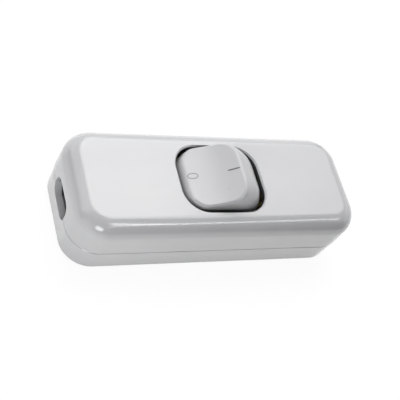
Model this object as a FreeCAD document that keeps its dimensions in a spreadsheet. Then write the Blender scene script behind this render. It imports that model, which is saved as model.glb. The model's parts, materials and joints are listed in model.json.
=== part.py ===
import FreeCAD, Part
import Sketcher
import math
import os

# Inline cord switch: a two-shell housing with a rocker on top and a cord entry at each end.
# Millimetres. X runs along the housing, Z up, and the origin is the middle of the base.
# The rocker is modelled switched off: its left end is down and its right end is up.

SIZES = [
    ("length", 80.0, "housing from end to end"),
    ("width", 30.2, "housing from side to side"),
    ("height", 18.2, "housing from base to roof"),
    ("corner_radius", 8.0, "corners of the housing seen from above"),
    ("top_round", 4.5, "soft edge all round the roof"),
    ("base_bevel", 0.6, "edge of the base"),
    ("parting_height", 7.5, "where the two shells meet"),
    ("wall", 2.0, "side wall of both shells"),
    ("roof", 2.0, "thickness of the roof"),
    ("floor", 2.0, "thickness of the base"),
    ("upper_draft", 0.6, "mould draft of the upper shell, degrees"),
    ("lower_draft", 2.2, "mould draft of the lower shell, degrees"),
    ("rim_step", 0.12, "lower shell set in from the upper shell"),
    ("parting_chamfer", 0.3, "bevel on both sides of the parting line"),
    ("lip_height", 1.2, "locating lip of the lower shell"),
    ("lip_thickness", 0.8, "thickness of the lip"),
    ("lip_clearance", 0.15, "gap between the lip and the upper shell"),
    ("entry_width", 10.6, "cord entry from side to side"),
    ("entry_floor", 5.3, "lowest point of the cord entry"),
    ("entry_height", 6.2, "cord entry from bottom to top"),
    ("entry_radius", 2.5, "corners of the cord entry"),
    ("entry_margin", 1.0, "how far the cut for the entry runs past the wall"),
    ("window_margin", 5.4, "roof between the rocker window and each side of the housing"),
    ("window_bevel", 0.4, "edge of the rocker window"),
    ("end_gap", 0.05, "between the rocker's round ends and the window"),
    ("side_gap", 0.95, "between the rocker's sides and the window"),
    ("corner_gap", 0.8, "window's corner radius over the rocker's"),
    ("pivot_height", 12.3, "rocker pivot above the base"),
    ("rocker_tilt", 21.0, "rocker angle each side of level, degrees"),
    ("rocker_reach", 11.75, "round ends of the rocker, from the pivot"),
    ("rocker_corner", 5.6, "corners of the rocker seen from above"),
    ("rim_angle", 39.35, "ends of the finger dish from upright, seen from the pivot, degrees"),
    ("dish_radius", 36.0, "hollow of the finger dish"),
    ("rim_bevel", 0.4, "edge of the finger dish"),
    ("rocker_wall", 1.4, "side wall of the rocker"),
    ("rocker_roof", 1.6, "thickness under the middle of the dish"),
    ("skirt_drop", 0.6, "end skirts of the rocker below the pivot"),
    ("belly_drop", 2.4, "middle of the rocker sides below the pivot"),
    ("belly_reach", 4.0, "half the length of the lowered middle"),
    ("pin_radius", 1.6, "trunnion pins of the rocker"),
    ("pin_clearance", 0.06, "gap round the trunnion pins"),
    ("pin_end_gap", 0.3, "trunnion pins short of the outside of the lugs"),
    ("lug_reach", 3.0, "bearing lug from the pivot to its round end"),
    ("lug_thickness", 2.0, "bearing lug across the housing"),
    ("tube_radius", 2.6, "spring tube under the rocker"),
    ("tube_bore", 1.7, "bore of the spring tube"),
    ("tube_drop", 2.8, "spring tube below the pivot"),
    ("rib_thickness", 1.2, "cross rib between the tube and the sides"),
    ("rib_drop", 1.5, "cross rib below the pivot"),
    ("seat_roof", 2.3, "rocker between the finger dish and the top of the spring"),
    ("spring_wire", 0.5, "diameter of the spring wire"),
    ("spring_radius", 1.2, "middle of the wire from the spring's axis"),
    ("spring_pitch", 1.55, "rise of the spring in one turn"),
    ("spring_clearance", 0.04, "gap at the spring's seat"),
    ("plunger_travel", 0.3, "how far the plunger can be pressed in"),
    ("plunger_clearance", 0.08, "gap round the plunger's collar"),
    ("collar_height", 1.4, "collar of the plunger"),
    ("collar_top", -1.0, "top of the collar from the pivot"),
    ("stem_radius", 0.65, "plunger stem inside the spring"),
    ("stem_top", 2.5, "top of the plunger stem above the pivot"),
    ("tip_radius", 1.2, "ball end of the plunger"),
    ("tip_drop", 4.0, "middle of the ball end below the pivot"),
    ("hinge_drop", 5.7, "contact blade hinge below the rocker's pivot"),
    ("blade_share", 0.4, "turn of the contact blade for each degree of the rocker"),
    ("blade_angle", 16.0, "rise of each arm of the contact blade, degrees"),
    ("blade_width", 5.0, "contact blade across the housing"),
    ("blade_thickness", 0.8, "sheet of the contact blade"),
    ("blade_seat", 0.35, "bottom of the blade's valley above its hinge"),
    ("arm_room", 1.35, "between the contact arm and the rocker's end wall"),
    ("short_arm", 4.6, "free arm of the blade"),
    ("axle_radius", 0.65, "stub axles of the blade"),
    ("axle_clearance", 0.05, "gap round the stub axles"),
    ("button_inset", 1.0, "contact button from the end of the contact arm"),
    ("button_radius", 1.3, "contact buttons"),
    ("button_height", 0.7, "contact buttons from seat to crown"),
    ("button_edge", 0.4, "straight edge of the contact buttons"),
    ("touch_gap", 0.1, "between the closed contacts"),
    ("strip_thickness", 0.8, "terminal sheet brass"),
    ("strip_width", 5.0, "terminal strips"),
    ("ear_gap", 0.3, "between the blade and each cradle ear"),
    ("ear_reach", 1.5, "cradle ear from the hinge to its round end"),
    ("step_room", 3.0, "from the contact arm's end to where the fixed strip bends up"),
    ("step_run", 0.8, "length of the bend along the housing"),
    ("platform_reach", 1.5, "fixed contact's platform past its button"),
    ("post_width", 2.4, "rib under the fixed contact"),
    ("block_room", 3.25, "between the rocker and the terminal blocks"),
    ("block_length", 7.0, "terminal blocks along the housing"),
    ("block_width", 7.0, "terminal blocks across the housing"),
    ("block_height", 6.4, "terminal blocks from bottom to top"),
    ("block_offset", 7.5, "terminal blocks across from the line of the front housing screw"),
    ("wire_radius", 1.5, "wire bore of the terminal blocks"),
    ("wire_height", 3.4, "wire bore above the bottom of the block"),
    ("neutral_length", 22.0, "through connector along the housing"),
    ("neutral_width", 4.4, "through connector across the housing"),
    ("neutral_height", 4.6, "through connector from bottom to top"),
    ("neutral_gap", 0.4, "between the through connector and the rear wall"),
    ("neutral_bore", 1.3, "wire bore of the through connector"),
    ("neutral_bore_height", 2.1, "its bore above the connector's bottom"),
    ("neutral_screw_place", 7.0, "through connector's screws from the middle"),
    ("nest_height", 2.2, "ribs that locate the blocks on the floor"),
    ("nest_wall", 0.8, "thickness of those ribs"),
    ("nest_gap", 0.2, "between the ribs and the blocks"),
    ("clamp_inset", 8.5, "cord clamps from the ends of the housing"),
    ("clamp_screw_gap", 1.9, "clamp screws out from the sides of the cord entry"),
    ("clamp_seat", 8.4, "top of the clamp posts"),
    ("clamp_post_radius", 2.0, "clamp posts"),
    ("clamp_depth", 4.4, "clamp bar along the housing"),
    ("clamp_margin", 2.0, "clamp bar past its screws"),
    ("clamp_thickness", 2.2, "clamp bar from bottom to top"),
    ("clamp_corner", 1.5, "corners of the clamp bar seen from above"),
    ("arch_reach", 3.8, "half the width of the arch under the bar"),
    ("arch_radius", 9.0, "arch under the clamp bar"),
    ("saddle_thickness", 1.6, "saddle rib under the cord"),
    ("saddle_radius", 20.0, "hollow of the saddle rib"),
    ("saddle_rise", 0.7, "ends of the saddle above the cord entry's floor"),
    ("screw_inset", 15.2, "housing screws from the ends of the housing"),
    ("screw_margin", 5.9, "housing screws from the sides of the housing"),
    ("column_radius", 3.8, "screw columns of the lower shell"),
    ("boss_radius", 3.0, "screw bosses of the upper shell"),
    ("screw_recess", 2.4, "depth of the housing screws' recess"),
    ("recess_radius", 2.9, "housing screws' recess"),
    ("screw_clearance", 0.2, "gap round a screw that passes through"),
    ("thread_clearance", 0.05, "gap round a screw that bites"),
    ("bore_spare", 1.0, "blind screw holes past the screw's point"),
    ("driver_slot", 0.7, "width of the driver slots"),
    ("driver_depth", 0.6, "depth of the driver slots"),
    ("block_corner", 0.25, "corners of the wire blocks"),
    ("housing_shank", 1.4, "housing screw shank"),
    ("housing_head", 2.6, "housing screw head"),
    ("housing_head_height", 1.6, "housing screw head height"),
    ("housing_screw_length", 10.5, "housing screw under its head"),
    ("clamp_shank", 1.25, "clamp screw shank"),
    ("clamp_head", 2.1, "clamp screw head"),
    ("clamp_head_height", 1.4, "clamp screw head height"),
    ("clamp_screw_length", 6.5, "clamp screw under its head"),
    ("block_shank", 1.2, "terminal screw shank"),
    ("block_head", 2.0, "terminal screw head"),
    ("block_head_height", 1.3, "terminal screw head height"),
    ("block_screw_length", 2.4, "terminal screw under its head"),
    ("neutral_shank", 1.1, "through connector screw shank"),
    ("neutral_head", 1.7, "through connector screw head"),
    ("neutral_head_height", 1.2, "through connector screw head height"),
    ("neutral_screw_length", 2.0, "through connector screw under its head"),
]

# Places and sizes that follow from the sheet, as expressions
CAVITY = ("sizes.length - 2 * sizes.wall", "sizes.width - 2 * sizes.wall", "sizes.corner_radius - sizes.wall")
LIP_INSET = "(sizes.wall - sizes.lip_thickness)"
ENTRY_MIDDLE = "(sizes.entry_floor + sizes.entry_height / 2)"
CEILING = "(sizes.height - sizes.roof)"
WINDOW_LENGTH = "(2 * (sizes.rocker_reach + sizes.end_gap))"
WINDOW_WIDTH = "(sizes.width - 2 * sizes.window_margin)"
WINDOW_RADIUS = "(sizes.rocker_corner + sizes.corner_gap)"
ROCKER_WIDTH = f"({WINDOW_WIDTH} - 2 * sizes.side_gap)"
RIM_REACH = "(sizes.rocker_reach * sin(sizes.rim_angle))"
RIM_HEIGHT = "(sizes.rocker_reach * cos(sizes.rim_angle))"
DISH_MIDDLE = f"({RIM_HEIGHT} - sizes.dish_radius + sqrt(sizes.dish_radius ^ 2 - {RIM_REACH} ^ 2))"
HOLLOW_TOP = f"({DISH_MIDDLE} - sizes.rocker_roof)"
SPRING_SEAT = f"({DISH_MIDDLE} - sizes.seat_roof)"
HINGE = "(sizes.pivot_height - sizes.hinge_drop)"
BLADE_TILT = "(sizes.blade_share * sizes.rocker_tilt)"
LONG_ARM = "(sizes.rocker_reach - sizes.rocker_wall - sizes.arm_room)"
BUTTON_ARM = f"({LONG_ARM} - sizes.button_inset)"
EAR_INSIDE = "(sizes.blade_width / 2 + sizes.ear_gap)"
COLLAR_RADIUS = "(sizes.tube_bore - sizes.plunger_clearance)"
BUTTON_SEAT_X = f"(-{BUTTON_ARM} - sizes.blade_thickness * sin(sizes.blade_angle))"
BUTTON_SEAT_Z = (f"(sizes.blade_seat + {BUTTON_ARM} * tan(sizes.blade_angle)"
                 " - sizes.blade_thickness * cos(sizes.blade_angle))")
CROWN_X = f"({BUTTON_SEAT_X} - sizes.button_height * sin(sizes.blade_angle))"
CROWN_Z = f"({BUTTON_SEAT_Z} - sizes.button_height * cos(sizes.blade_angle))"
CLOSED_X = f"({CROWN_X} * cos({BLADE_TILT}) - {CROWN_Z} * sin({BLADE_TILT}))"
CLOSED_Z = f"({HINGE} + {CROWN_X} * sin({BLADE_TILT}) + {CROWN_Z} * cos({BLADE_TILT}))"
PLATFORM_TOP = f"({CLOSED_Z} - sizes.touch_gap - sizes.button_height)"
STEP_PLACE = f"({LONG_ARM} + sizes.step_room)"
PLATFORM_END = f"({BUTTON_ARM} - sizes.platform_reach)"
BLOCK_NEAR = "(sizes.rocker_reach + sizes.block_room)"
BLOCK_MIDDLE = f"({BLOCK_NEAR} + sizes.block_length / 2)"
STRIP_END = f"({BLOCK_NEAR} + sizes.strip_thickness)"
SCREW_PLACE = "(sizes.length / 2 - sizes.screw_inset)"
SCREW_SIDE = "(sizes.width / 2 - sizes.screw_margin)"
BLOCK_SHIFT = f"({SCREW_SIDE} - sizes.block_offset)"
BLOCK_TOP = "(sizes.floor + sizes.block_height)"
NEUTRAL_PLACE = "(sizes.width / 2 - sizes.wall - sizes.neutral_gap - sizes.neutral_width / 2)"
NEUTRAL_TOP = "(sizes.floor + sizes.neutral_height)"
CLAMP_PLACE = "(sizes.length / 2 - sizes.clamp_inset)"
CLAMP_SCREW_PLACE = "(sizes.entry_width / 2 + sizes.clamp_screw_gap)"
CLAMP_TOP = "(sizes.clamp_seat + sizes.clamp_thickness)"

# Heights of the rocker's cross sections as shares of its top, even steps round its ends
SECTION_STEPS = (0, 0.3, 0.56, 0.79, 1)

TINY = 1e-4

doc = FreeCAD.newDocument("inline_cord_switch")


def make_sheet():
    """Write every driving size into the sheet, with its name as the alias."""
    sheet = doc.addObject("Spreadsheet::Sheet", "sizes")
    for row, (alias, number, note) in enumerate(SIZES, start=1):
        sheet.set(f"A{row}", alias)
        sheet.set(f"B{row}", str(number))
        sheet.set(f"C{row}", note)
        sheet.setAlias(f"B{row}", alias)
    doc.recompute()
    return sheet


sizes = make_sheet()


def value(expression):
    """Work out an expression of the sheet's sizes as a plain number."""
    result = sizes.evalExpression(expression)
    return float(getattr(result, "Value", result))


def new_body(label):
    body = doc.addObject("PartDesign::Body", label)
    body.Label = label
    return body


def origin_part(body, role):
    """Find one of the body's own origin planes or axes by its role."""
    return next(item for item in body.Origin.OriginFeatures if item.Role == role)


def sketch_on(body, name, role, **shift):
    """Attach a sketch to an origin plane, moved along the sketch's own x, y and z."""
    sketch = body.newObject("Sketcher::SketchObject", name)
    sketch.AttachmentSupport = [(origin_part(body, role), "")]
    sketch.MapMode = "FlatFace"
    for axis, expression in shift.items():
        sketch.setExpression(f"AttachmentOffset.Base.{axis}", expression)
    return sketch


def constrain(sketch, kind, items, expression):
    """Add one dimension to a sketch and tie it to the sheet."""
    index = sketch.addConstraint(Sketcher.Constraint(kind, *items, value(expression)))
    sketch.setExpression(f"Constraints[{index}]", expression)


def arc_through(start, end, radius, turn):
    """Give the arc from start to end that bends left (turn 1) or right (turn -1)."""
    along = end - start
    rise = math.sqrt(max(radius ** 2 - (along.Length / 2) ** 2, 0.0))
    side = FreeCAD.Vector(-along.y, along.x, 0).normalize() * turn
    centre = start + along * 0.5 + side * rise
    first, last = (start, end) if turn > 0 else (end, start)
    angles = [math.atan2(p.y - centre.y, p.x - centre.x) for p in (first, last)]
    return Part.ArcOfCircle(Part.Circle(centre, FreeCAD.Vector(0, 0, 1), radius), *angles)


def draw(sketch, points):
    """Close an outline through points whose coordinates are expressions.

    A point is (x, y) at the end of a straight edge, or (x, y, radius, turn) at the end of
    a round one. A turn of 1 bends to the left and -1 to the right.
    """
    spots = [FreeCAD.Vector(value(point[0]), value(point[1]), 0) for point in points]
    ends = []
    for index, point in enumerate(points):
        start, end = spots[index - 1], spots[index]
        if len(point) == 2:
            edge = sketch.addGeometry(Part.LineSegment(start, end))
            ends.append((edge, 1, 2))
        else:
            edge = sketch.addGeometry(arc_through(start, end, value(point[2]), point[3]))
            ends.append((edge, 1, 2) if point[3] > 0 else (edge, 2, 1))
    for index, point in enumerate(points):
        edge, _, last = ends[index]
        following, first, _ = ends[(index + 1) % len(points)]
        sketch.addConstraint(Sketcher.Constraint("Coincident", edge, last, following, first))
        constrain(sketch, "DistanceX", (-1, 1, edge, last), point[0])
        constrain(sketch, "DistanceY", (-1, 1, edge, last), point[1])
        if len(point) > 2:
            constrain(sketch, "Radius", (edge,), point[2])


def draw_rounded(sketch, length, width, radius):
    """Draw a rectangle with round corners about the sketch's origin."""
    x, y = f"({length}) / 2", f"({width}) / 2"
    inner_x, inner_y = f"({x} - ({radius}))", f"({y} - ({radius}))"
    draw(sketch, [
        (inner_x, f"-({y})"), (x, f"-{inner_y}", radius, 1),
        (x, inner_y), (inner_x, y, radius, 1),
        (f"-{inner_x}", y), (f"-({x})", inner_y, radius, 1),
        (f"-({x})", f"-{inner_y}"), (f"-{inner_x}", f"-({y})", radius, 1),
    ])


def draw_box(sketch, low_x, high_x, low_y, high_y):
    draw(sketch, [(low_x, low_y), (high_x, low_y), (high_x, high_y), (low_x, high_y)])


def draw_circle(sketch, radius, x="0", y="0"):
    centre = FreeCAD.Vector(value(x), value(y), 0)
    circle = Part.Circle(centre, FreeCAD.Vector(0, 0, 1), value(radius))
    index = sketch.addGeometry(circle)
    constrain(sketch, "DistanceX", (-1, 1, index, 3), x)
    constrain(sketch, "DistanceY", (-1, 1, index, 3), y)
    constrain(sketch, "Radius", (index,), radius)


def extrude(body, kind, name, sketch, length, back=False, both=False, taper=None):
    """Pad or pocket a sketch; back turns it round and both centres it on the sketch."""
    feature = body.newObject(f"PartDesign::{kind}", name)
    feature.Profile = sketch
    feature.setExpression("Length", length)
    feature.Reversed = back
    if both:
        feature.SideType = "Symmetric"
    if taper:
        feature.setExpression("TaperAngle", taper)
    return feature


def pad(body, name, sketch, length, **options):
    return extrude(body, "Pad", name, sketch, length, **options)


def pocket(body, name, sketch, length, **options):
    return extrude(body, "Pocket", name, sketch, length, **options)


def revolve(body, name, sketch):
    """Turn a half section through a full turn about the sketch's vertical axis."""
    feature = body.newObject("PartDesign::Revolution", name)
    feature.Profile = sketch
    feature.ReferenceAxis = (sketch, ["V_Axis"])
    feature.Angle = 360.0
    return feature


def soften(body, kind, name, size, chosen):
    """Fillet or chamfer the edges of the body so far that chosen(edge) picks."""
    doc.recompute()
    base = body.Tip
    edges = [f"Edge{n}" for n, edge in enumerate(base.Shape.Edges, start=1) if chosen(edge)]
    feature = body.newObject(f"PartDesign::{kind}", name)
    feature.Base = (base, edges)
    feature.setExpression("Radius" if kind == "Fillet" else "Size", size)
    return feature


def mirror(body, name, features, role):
    feature = body.newObject("PartDesign::Mirrored", name)
    feature.Originals = features
    feature.MirrorPlane = (origin_part(body, role), [""])
    body.Tip = feature
    return feature


def half_turn_copy(body, name, features):
    """Repeat features half a turn round the housing's upright axis."""
    feature = body.newObject("PartDesign::PolarPattern", name)
    feature.Originals = features
    feature.Axis = (origin_part(body, "Z_Axis"), [""])
    feature.Angle = 360.0
    feature.Occurrences = 2
    body.Tip = feature
    return feature


def level_at(edge, height):
    """Say whether an edge lies flat at the given height."""
    box = edge.BoundBox
    return abs(box.ZMin - height) < TINY and abs(box.ZMax - height) < TINY


def tilt_about_y(body, height, angle):
    """Stand a body's origin on the middle line at a height, turned about Y."""
    body.Placement = FreeCAD.Placement(
        FreeCAD.Vector(0, 0, value(height)),
        FreeCAD.Rotation(FreeCAD.Vector(0, 1, 0), value(angle)))
    body.setExpression("Placement.Base.z", height)
    body.setExpression("Placement.Rotation.Angle", angle)


def place(body, x="0", y="0", z="0"):
    for axis, expression in (("x", x), ("y", y), ("z", z)):
        body.setExpression(f"Placement.Base.{axis}", expression)


def cut_entries(body):
    """Open the cord entry in both end walls."""
    sketch = sketch_on(body, "entry_outline", "YZ_Plane", y=ENTRY_MIDDLE,
                       z="-(sizes.length / 2 + sizes.entry_margin)")
    draw_rounded(sketch, "sizes.entry_width", "sizes.entry_height", "sizes.entry_radius")
    entry = pocket(body, "entry", sketch, "sizes.wall + 2 * sizes.entry_margin", back=True)
    mirror(body, "other_entry", [entry], "YZ_Plane")


def make_lower_shell():
    body = new_body("lower_shell")
    outline = sketch_on(body, "rim_outline", "XY_Plane", z="sizes.parting_height")
    draw_rounded(outline, "sizes.length - 2 * sizes.rim_step", "sizes.width - 2 * sizes.rim_step",
                 "sizes.corner_radius - sizes.rim_step")
    pad(body, "outside", outline, "sizes.parting_height", back=True, taper="-sizes.lower_draft")
    soften(body, "Chamfer", "base_edge", "sizes.base_bevel", lambda edge: level_at(edge, 0))
    soften(body, "Chamfer", "rim_bevel", "sizes.parting_chamfer",
           lambda edge: level_at(edge, value("sizes.parting_height")))
    cavity = sketch_on(body, "cavity_outline", "XY_Plane", z="sizes.parting_height")
    draw_rounded(cavity, *CAVITY)
    pocket(body, "cavity", cavity, "sizes.parting_height - sizes.floor")
    lip = sketch_on(body, "lip_outline", "XY_Plane", z="sizes.parting_height")
    draw_rounded(lip, f"sizes.length - 2 * {LIP_INSET}", f"sizes.width - 2 * {LIP_INSET}",
                 f"sizes.corner_radius - {LIP_INSET}")
    draw_rounded(lip, *CAVITY)
    pad(body, "lip", lip, "sizes.lip_height")
    add_screw_columns(body)
    add_clamp_seats(body)
    add_nests(body)
    cut_entries(body)
    return body


def add_screw_columns(body):
    """Add the two recessed columns that the housing screws pass through."""
    spot = {"x": f"-{SCREW_PLACE}", "y": SCREW_SIDE}
    column = sketch_on(body, "column_outline", "XY_Plane", z="sizes.floor")
    draw_circle(column, "sizes.column_radius", **spot)
    column_pad = pad(body, "column", column, "sizes.parting_height - sizes.floor")
    recess = sketch_on(body, "recess_outline", "XY_Plane")
    draw_circle(recess, "sizes.recess_radius", **spot)
    recess_cut = pocket(body, "recess", recess, "sizes.screw_recess", back=True)
    hole = sketch_on(body, "hole_outline", "XY_Plane")
    draw_circle(hole, "sizes.housing_shank + sizes.screw_clearance", **spot)
    hole_cut = pocket(body, "hole", hole, "sizes.parting_height", back=True)
    half_turn_copy(body, "other_column", [column_pad, recess_cut, hole_cut])


def add_clamp_seats(body):
    """Add two clamp posts and a saddle rib at each end, under the cord clamps."""
    posts = sketch_on(body, "post_outline", "XY_Plane", z="sizes.floor")
    bores = sketch_on(body, "post_bore_outline", "XY_Plane", z="sizes.clamp_seat")
    for side in (CLAMP_SCREW_PLACE, f"-{CLAMP_SCREW_PLACE}"):
        draw_circle(posts, "sizes.clamp_post_radius", CLAMP_PLACE, side)
        draw_circle(bores, "sizes.clamp_shank + sizes.thread_clearance", CLAMP_PLACE, side)
    post_pad = pad(body, "posts", posts, "sizes.clamp_seat - sizes.floor")
    reach = f"({CLAMP_SCREW_PLACE} - sizes.clamp_post_radius / 2)"
    top = "sizes.entry_floor + sizes.saddle_rise"
    saddle = sketch_on(body, "saddle_outline", "YZ_Plane", z=CLAMP_PLACE)
    draw(saddle, [
        (f"-{reach}", "sizes.floor"), (reach, "sizes.floor"), (reach, top),
        (f"-{reach}", top, "sizes.saddle_radius", -1),
    ])
    saddle_pad = pad(body, "saddle", saddle, "sizes.saddle_thickness", both=True)
    bore_cut = pocket(body, "post_bores", bores,
                      "sizes.clamp_screw_length - sizes.clamp_thickness + sizes.bore_spare / 2")
    mirror(body, "other_seat", [post_pad, saddle_pad, bore_cut], "YZ_Plane")


def add_nests(body):
    """Add the ribs that locate the terminals, and the one under the fixed contact."""
    inner = f"({BLOCK_MIDDLE} + sizes.block_length / 2 + sizes.nest_gap)"
    nest = sketch_on(body, "nest_outline", "XY_Plane", z="sizes.floor")
    start = f"{STRIP_END} + sizes.nest_gap"
    low = f"-({BLOCK_SHIFT} + sizes.block_width / 2 + sizes.nest_gap)"
    high = f"(sizes.block_width / 2 - {BLOCK_SHIFT} + sizes.nest_gap)"
    draw(nest, [
        (start, f"{low} - sizes.nest_wall"),
        (f"{inner} + sizes.nest_wall", f"{low} - sizes.nest_wall"),
        (f"{inner} + sizes.nest_wall", f"{high} + sizes.nest_wall"),
        (start, f"{high} + sizes.nest_wall"),
        (start, high), (inner, high), (inner, low), (start, low),
    ])
    nest_pad = pad(body, "nest", nest, "sizes.nest_height")
    mirror(body, "other_nest", [nest_pad], "YZ_Plane")
    rail = sketch_on(body, "rail_outline", "XY_Plane", z="sizes.floor")
    near = f"{NEUTRAL_PLACE} - sizes.neutral_width / 2 - sizes.nest_gap"
    end = "(sizes.neutral_length / 2 + sizes.nest_gap)"
    far = f"{NEUTRAL_PLACE} + sizes.neutral_width / 2"
    draw(rail, [
        (f"-({end} + sizes.nest_wall)", f"{near} - sizes.nest_wall"),
        (f"{end} + sizes.nest_wall", f"{near} - sizes.nest_wall"),
        (f"{end} + sizes.nest_wall", far), (end, far), (end, near), (f"-{end}", near),
        (f"-{end}", far), (f"-({end} + sizes.nest_wall)", far),
    ])
    pad(body, "rail", rail, "sizes.nest_height")
    post = sketch_on(body, "contact_post_outline", "XY_Plane", z="sizes.floor")
    draw_box(post, f"{CLOSED_X} - sizes.post_width / 2", f"{CLOSED_X} + sizes.post_width / 2",
             "-sizes.strip_width / 2", "sizes.strip_width / 2")
    pad(body, "contact_post", post, f"{PLATFORM_TOP} - sizes.strip_thickness - sizes.floor")


def make_upper_shell():
    body = new_body("upper_shell")
    outline = sketch_on(body, "rim_outline", "XY_Plane", z="sizes.parting_height")
    draw_rounded(outline, "sizes.length", "sizes.width", "sizes.corner_radius")
    pad(body, "outside", outline, "sizes.height - sizes.parting_height", taper="-sizes.upper_draft")
    soften(body, "Fillet", "soft_edge", "sizes.top_round",
           lambda edge: level_at(edge, value("sizes.height")))
    soften(body, "Chamfer", "rim_bevel", "sizes.parting_chamfer",
           lambda edge: level_at(edge, value("sizes.parting_height")))
    cavity = sketch_on(body, "cavity_outline", "XY_Plane", z="sizes.parting_height")
    draw_rounded(cavity, *CAVITY)
    pocket(body, "cavity", cavity, f"{CEILING} - sizes.parting_height", back=True)
    soften(body, "Chamfer", "ceiling_bevel", "sizes.top_round - sizes.roof",
           lambda edge: level_at(edge, value(CEILING)))
    groove = sketch_on(body, "groove_outline", "XY_Plane", z="sizes.parting_height")
    inset = f"({LIP_INSET} - sizes.lip_clearance)"
    draw_rounded(groove, f"sizes.length - 2 * {inset}", f"sizes.width - 2 * {inset}",
                 f"sizes.corner_radius - {inset}")
    pocket(body, "groove", groove, "sizes.lip_height + sizes.lip_clearance", back=True)
    window = sketch_on(body, "window_outline", "XY_Plane", z="sizes.height")
    draw_rounded(window, WINDOW_LENGTH, WINDOW_WIDTH, WINDOW_RADIUS)
    pocket(body, "window", window, "1.5 * sizes.roof")
    reach = value(WINDOW_LENGTH) / 2 + TINY
    soften(body, "Chamfer", "window_edge", "sizes.window_bevel",
           lambda edge: level_at(edge, value("sizes.height")) and edge.BoundBox.XMax < reach
           and edge.BoundBox.XMin > -reach and edge.BoundBox.YLength < value(WINDOW_WIDTH))
    add_lugs(body)
    add_bosses(body)
    cut_entries(body)
    return body


def add_lugs(body):
    """Hang the two bearing lugs of the rocker from the roof."""
    sketch = sketch_on(body, "lug_outline", "XZ_Plane", z=f"-{WINDOW_WIDTH} / 2")
    top = "sizes.height - sizes.roof / 2"
    draw(sketch, [
        ("-sizes.lug_reach", top), ("-sizes.lug_reach", "sizes.pivot_height"),
        ("0", "sizes.pivot_height - sizes.lug_reach", "sizes.lug_reach", 1),
        ("sizes.lug_reach", "sizes.pivot_height", "sizes.lug_reach", 1), ("sizes.lug_reach", top),
    ])
    lug = pad(body, "lug", sketch, "sizes.lug_thickness", back=True)
    mirror(body, "other_lug", [lug], "XZ_Plane")
    bore = sketch_on(body, "lug_bore_outline", "XZ_Plane")
    draw_circle(bore, "sizes.pin_radius + sizes.pin_clearance", y="sizes.pivot_height")
    pocket(body, "lug_bores", bore, f"{WINDOW_WIDTH} + 2 * sizes.lug_thickness + 2 * sizes.pin_end_gap",
           both=True)


def add_bosses(body):
    """Hang the two bosses that the housing screws bite into."""
    spot = {"x": f"-{SCREW_PLACE}", "y": SCREW_SIDE}
    boss = sketch_on(body, "boss_outline", "XY_Plane", z="sizes.parting_height")
    draw_circle(boss, "sizes.boss_radius", **spot)
    boss_pad = pad(body, "boss", boss, "sizes.height - sizes.roof / 2 - sizes.parting_height")
    bore = sketch_on(body, "boss_bore_outline", "XY_Plane", z="sizes.parting_height")
    draw_circle(bore, "sizes.housing_shank + sizes.thread_clearance", **spot)
    bore_cut = pocket(body, "boss_bore", bore, "sizes.screw_recess + sizes.housing_screw_length"
                      " - sizes.parting_height + sizes.bore_spare", back=True)
    half_turn_copy(body, "other_boss", [boss_pad, bore_cut])


def loft(body, kind, name, inset, heights):
    """Join rounded sections whose ends follow the round ends of the rocker."""
    sections = []
    for number, height in enumerate(heights):
        sketch = sketch_on(body, f"{name}_section_{number}", "XY_Plane", z=height)
        length = f"2 * sqrt((sizes.rocker_reach - {inset}) ^ 2 - ({height}) ^ 2)"
        draw_rounded(sketch, length, f"{ROCKER_WIDTH} - 2 * {inset}", f"sizes.rocker_corner - {inset}")
        sections.append(sketch)
    feature = body.newObject(f"PartDesign::{kind}", name)
    feature.Profile = sections[0]
    feature.Sections = sections[1:]
    feature.Ruled = True
    return feature


def make_rocker():
    body = new_body("rocker")
    top = f"({RIM_HEIGHT} + sizes.rim_bevel)"
    loft(body, "AdditiveLoft", "outside", "0",
         ["-sizes.belly_drop"] + [f"{top} * {step}" for step in SECTION_STEPS])
    dish = sketch_on(body, "dish_outline", "XZ_Plane")
    over = "(sizes.rocker_reach + sizes.rocker_wall)"
    edge = f"{DISH_MIDDLE} + sizes.dish_radius - sqrt(sizes.dish_radius ^ 2 - {over} ^ 2)"
    draw(dish, [
        (f"-{over}", edge), (over, edge, "sizes.dish_radius", 1),
        (over, f"{top} + 2 * sizes.rocker_wall"), (f"-{over}", f"{top} + 2 * sizes.rocker_wall"),
    ])
    pocket(body, "dish", dish, f"2 * {ROCKER_WIDTH}", both=True)
    soften(body, "Chamfer", "rim_edge", "sizes.rim_bevel",
           lambda edge: edge.BoundBox.ZMin > value(DISH_MIDDLE) - TINY)
    loft(body, "SubtractiveLoft", "hollow", "sizes.rocker_wall",
         ["-sizes.belly_drop - sizes.rocker_wall", "0", f"{HOLLOW_TOP} / 2", HOLLOW_TOP])
    skirts = sketch_on(body, "skirt_outline", "XZ_Plane")
    below = "-(sizes.belly_drop + sizes.rocker_wall)"
    for side in ("", "-"):
        corners = [("sizes.belly_reach", below), (over, below), (over, "-sizes.skirt_drop"),
                   ("sizes.rocker_reach", "-sizes.skirt_drop"), ("sizes.belly_reach", "-sizes.belly_drop")]
        draw(skirts, [(f"{side}{x}", y) for x, y in corners])
    pocket(body, "skirts", skirts, f"2 * {ROCKER_WIDTH}", both=True)
    add_spring_tube(body)
    add_pins(body)
    tilt_about_y(body, "sizes.pivot_height", "-sizes.rocker_tilt")
    return body


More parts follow.
